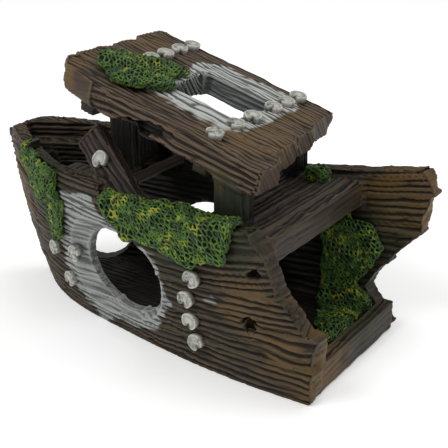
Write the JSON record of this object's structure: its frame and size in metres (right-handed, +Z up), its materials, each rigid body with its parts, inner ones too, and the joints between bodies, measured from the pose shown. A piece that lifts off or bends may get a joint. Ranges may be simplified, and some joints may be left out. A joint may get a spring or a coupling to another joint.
{
  "type": "bubbling ornament",
  "caption": "Aquarium shipwreck ornament: plank hull broken open at the stern, portholes, pitched cabin roof with a hatch, moss patches, air stone inside.",
  "frame": {"origin": "on the flat base, on the hull's centre line, towards the stern from the middle of its length", "axes": "+Z up, +X from the bow to the stern, port is -Y"},
  "size_m": [0.1345, 0.0698, 0.0779],
  "materials": {
    "hull_brown": "matte, painted wood grain",
    "hull_inner_dark": "matte",
    "cabin_dark": "matte",
    "deck_brown": "matte",
    "roof_brown": "matte, dry brushed",
    "board_reddish": "matte",
    "nail_grey": "matte, chipped",
    "moss_green": "rough",
    "air_tube_clear": "glossy",
    "air_stone_grey": "rough, porous"
  },
  "bodies": {
    "root": {"aft_deck_beam": "cabin_dark", "aft_deck_board_1": "deck_brown", "aft_deck_board_2": "deck_brown", "aft_deck_board_3": "deck_brown", "aft_port_post": "cabin_dark", "aft_starboard_post": "cabin_dark", "air_inlet_tube": "air_tube_clear", "air_stone": "air_stone_grey", "bow_moss": "moss_green", "floor_plate": "hull_inner_dark", "fore_beam": "cabin_dark", "fore_bulkhead_board_1": "cabin_dark", "fore_bulkhead_board_2": "cabin_dark", "fore_bulkhead_board_3": "cabin_dark", "fore_bulkhead_board_4": "cabin_dark", "fore_deck_board_1": "deck_brown", "fore_deck_board_2": "deck_brown", "fore_port_post": "cabin_dark", "fore_starboard_post": "cabin_dark", "leaning_board": "board_reddish", "leaning_board_nail": "nail_grey", "port_bow_nails": "nail_grey", "port_quarter_nails": "nail_grey", "port_rim_board": "hull_brown", "port_rim_moss": "moss_green", "port_strake_1": "hull_brown", "port_strake_2_aft": "hull_brown", "port_strake_2_fore": "hull_brown", "port_strake_3_aft": "hull_brown", "port_strake_3_fore": "hull_brown", "port_strake_4": "hull_brown", "port_strake_5": "hull_brown", "post_moss_tuft": "moss_green", "roof_aft_nails": "nail_grey", "roof_batten_aft": "roof_brown", "roof_batten_fore": "roof_brown", "roof_fore_nails": "nail_grey", "roof_moss": "moss_green", "roof_plank_1": "roof_brown", "roof_plank_2": "roof_brown", "roof_plank_3_aft": "roof_brown", "roof_plank_3_fore": "roof_brown", "roof_plank_4": "roof_brown", "starboard_rim_board": "hull_brown", "starboard_strake_1": "hull_brown", "starboard_strake_2_aft": "hull_brown", "starboard_strake_2_fore": "hull_brown", "starboard_strake_2_middle": "hull_brown", "starboard_strake_3_aft": "hull_brown", "starboard_strake_3_fore": "hull_brown", "starboard_strake_4": "hull_brown", "starboard_strake_5": "hull_brown", "stem_post": "cabin_dark", "stern_floor_moss": "moss_green", "stern_wall_moss": "moss_green", "transom_sill": "hull_inner_dark"}
  },
  "joints": []
}
